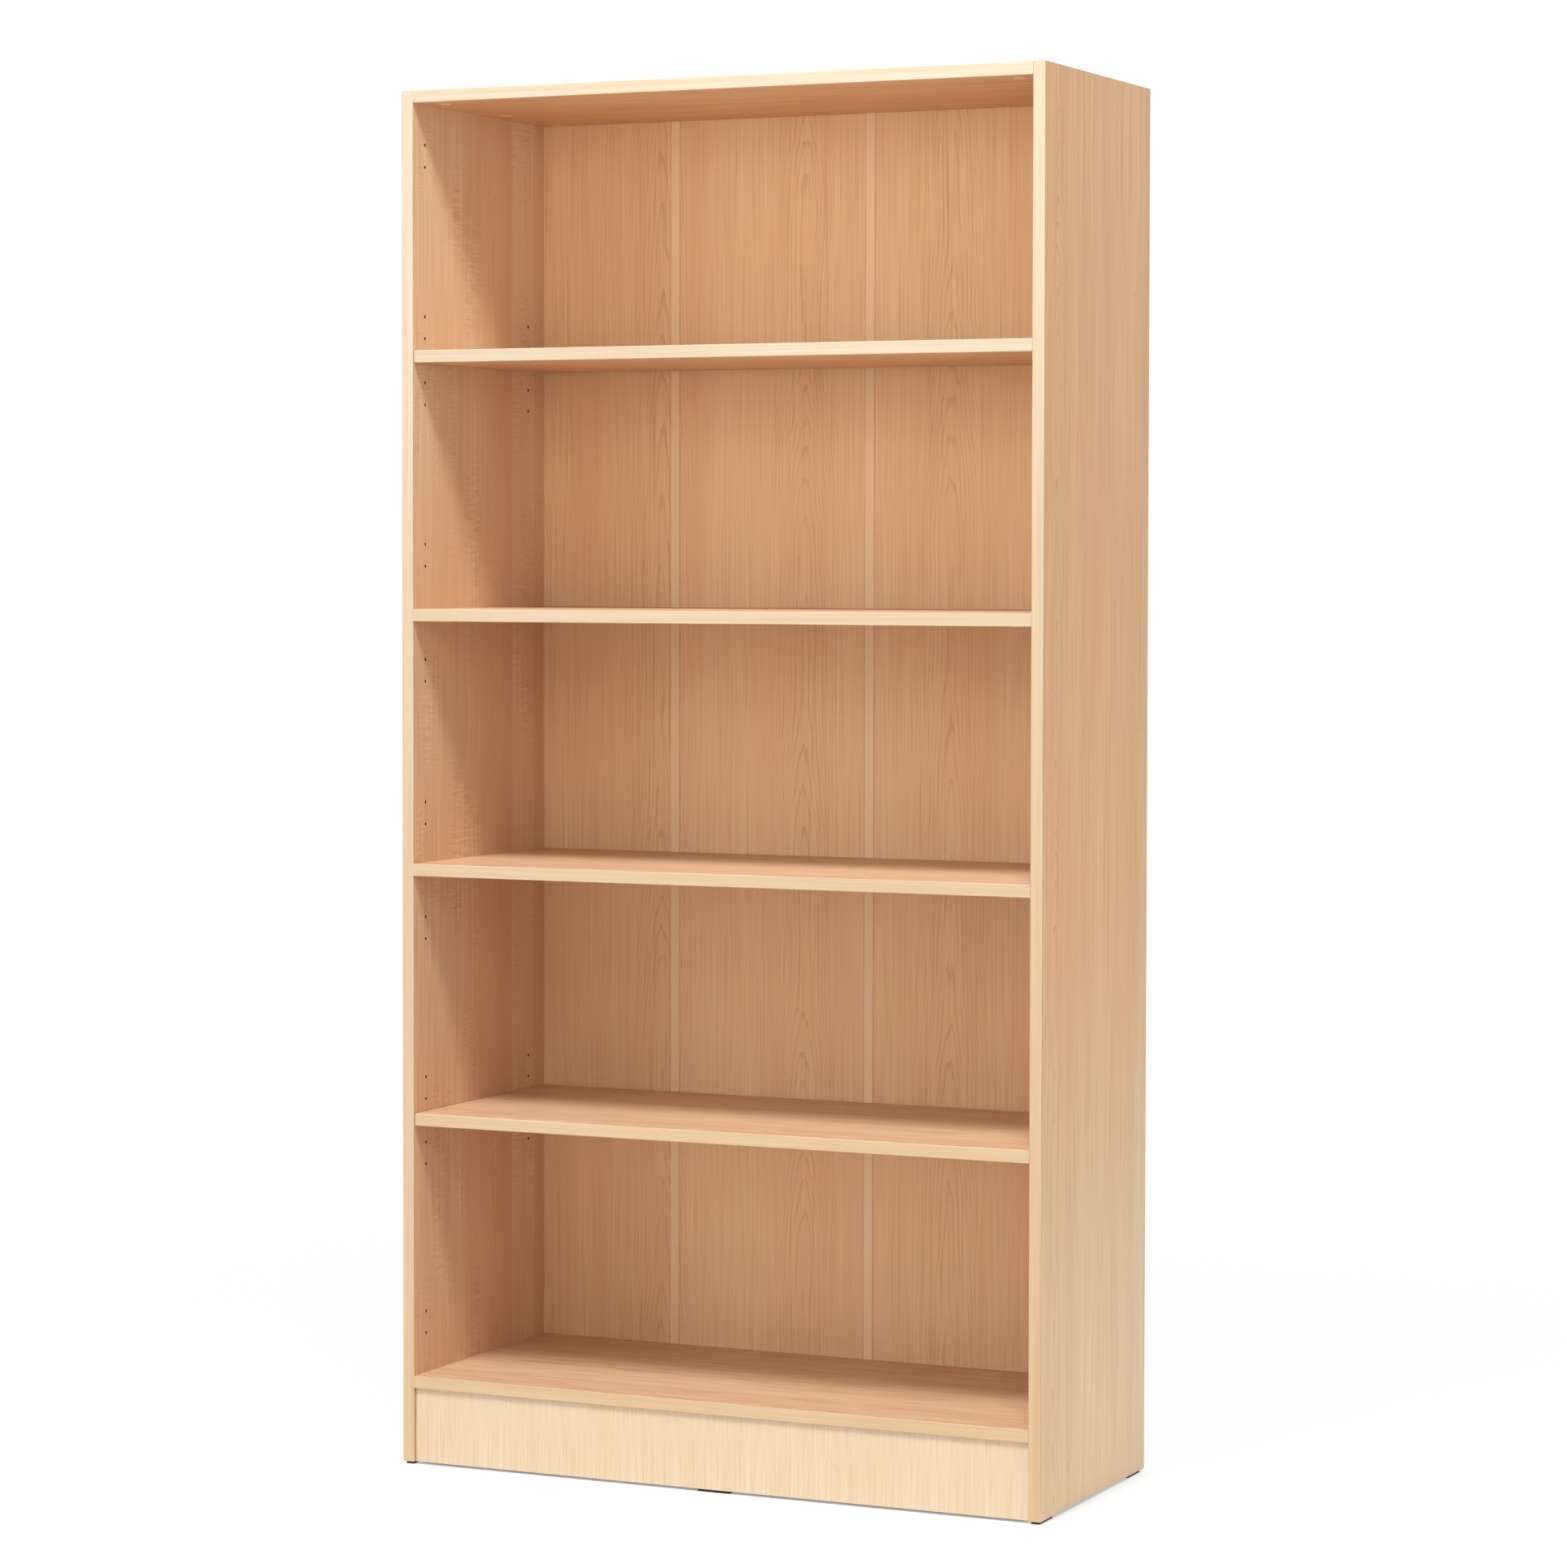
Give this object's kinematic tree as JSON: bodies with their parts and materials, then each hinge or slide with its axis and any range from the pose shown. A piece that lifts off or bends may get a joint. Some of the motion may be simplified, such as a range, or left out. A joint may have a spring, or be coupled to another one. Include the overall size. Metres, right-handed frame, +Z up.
{
  "type": "bookcase with adjustable shelves",
  "caption": "Tall open bookcase of faced board on low glides, with fixed and adjustable shelves, bored sides, a set-back plinth and a back of thin panels joined by strips.",
  "frame": {"origin": "on the floor, under the middle of the case", "axes": "+X to the right seen from the front, +Y to the back, +Z up"},
  "size_m": [1, 0.412, 2],
  "materials": {
    "faced_board": "satin maple-look faced board",
    "edge_band": "satin maple-look edging",
    "back_board": "matt maple-look printed fibreboard",
    "strip_plastic": "matt tan plastic",
    "cap_plastic": "matt pale plastic",
    "glide_plastic": "matt black plastic",
    "dowel_wood": "raw beech",
    "cast_zinc": "dull cast zinc",
    "steel": "zinc-plated steel"
  },
  "bodies": {
    "case": {"back_nails": "steel", "back_panel_left": "back_board", "back_panel_middle": "back_board", "back_panel_right": "back_board", "bottom_shelf": "faced_board", "bottom_shelf_edge_band": "edge_band", "cam_bolts": "steel", "cam_cover_caps": "cap_plastic", "cam_housings": "cast_zinc", "glide_nails": "steel", "joining_strip_left": "strip_plastic", "joining_strip_right": "strip_plastic", "joint_dowels": "dowel_wood", "left_side": "faced_board", "left_side_edge_band": "edge_band", "lower_fixed_shelf": "faced_board", "lower_fixed_shelf_edge_band": "edge_band", "lower_shelf_pins": "steel", "plinth": "faced_board", "plinth_dowels": "dowel_wood", "plinth_glide": "glide_plastic", "right_side": "faced_board", "right_side_edge_band": "edge_band", "side_glides": "glide_plastic", "top_panel": "faced_board", "top_panel_edge_band": "edge_band", "upper_fixed_shelf": "faced_board", "upper_fixed_shelf_edge_band": "edge_band", "upper_shelf_pins": "steel"},
    "upper_adjustable_shelf": {"upper_adjustable_shelf": "faced_board", "upper_adjustable_shelf_edge_band": "edge_band"},
    "lower_adjustable_shelf": {"lower_adjustable_shelf": "faced_board", "lower_adjustable_shelf_edge_band": "edge_band"}
  },
  "joints": [
    {"name": "upper_shelf_lift", "type": "slide", "parent": "case", "child": "upper_adjustable_shelf", "axis": [0, 0, 1], "range_m": [0, 0.354]},
    {"name": "lower_shelf_lift", "type": "slide", "parent": "case", "child": "lower_adjustable_shelf", "axis": [0, 0, 1], "range_m": [0, 0.344]}
  ]
}
